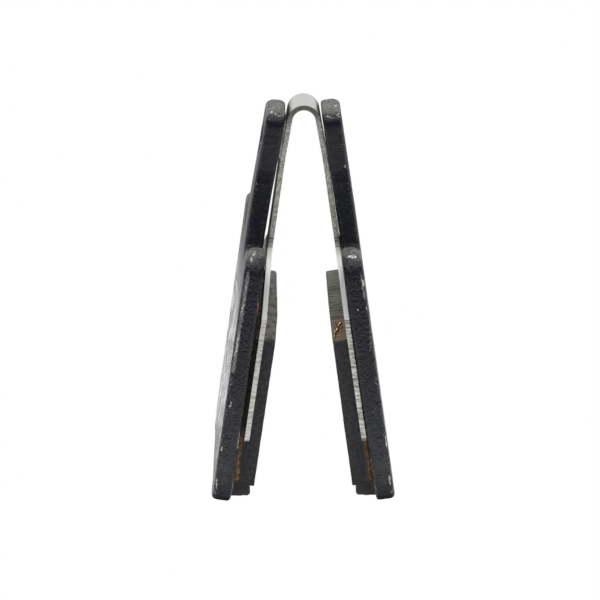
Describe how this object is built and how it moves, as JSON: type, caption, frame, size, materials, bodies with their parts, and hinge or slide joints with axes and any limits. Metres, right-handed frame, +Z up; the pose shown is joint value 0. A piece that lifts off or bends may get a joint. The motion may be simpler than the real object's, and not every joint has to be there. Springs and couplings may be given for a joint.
{
  "type": "bicycle disc brake pad set",
  "caption": "Bicycle disc brake pad set: black stamped backing plates with pin ears and worn friction blocks, facing each other on a bent leaf return spring.",
  "frame": {"origin": "on the floor under the middle of the set", "axes": "+Z up along the pads, X across the pair from the left pad to the right one, Y along the pads' width"},
  "size_m": [0.0168, 0.024, 0.0356],
  "materials": {
    "plate_paint": "semi-gloss black paint on stamped steel, chipped at the edges",
    "friction_compound": "matt charcoal friction compound, worn and dusty, brown at the bond line",
    "spring_steel": "satin rolled stainless strip with sheared edges"
  },
  "bodies": {
    "root": {"left_backing_plate": "plate_paint", "right_backing_plate": "plate_paint", "left_friction_block": "friction_compound", "right_friction_block": "friction_compound", "return_spring": "spring_steel"}
  },
  "joints": []
}
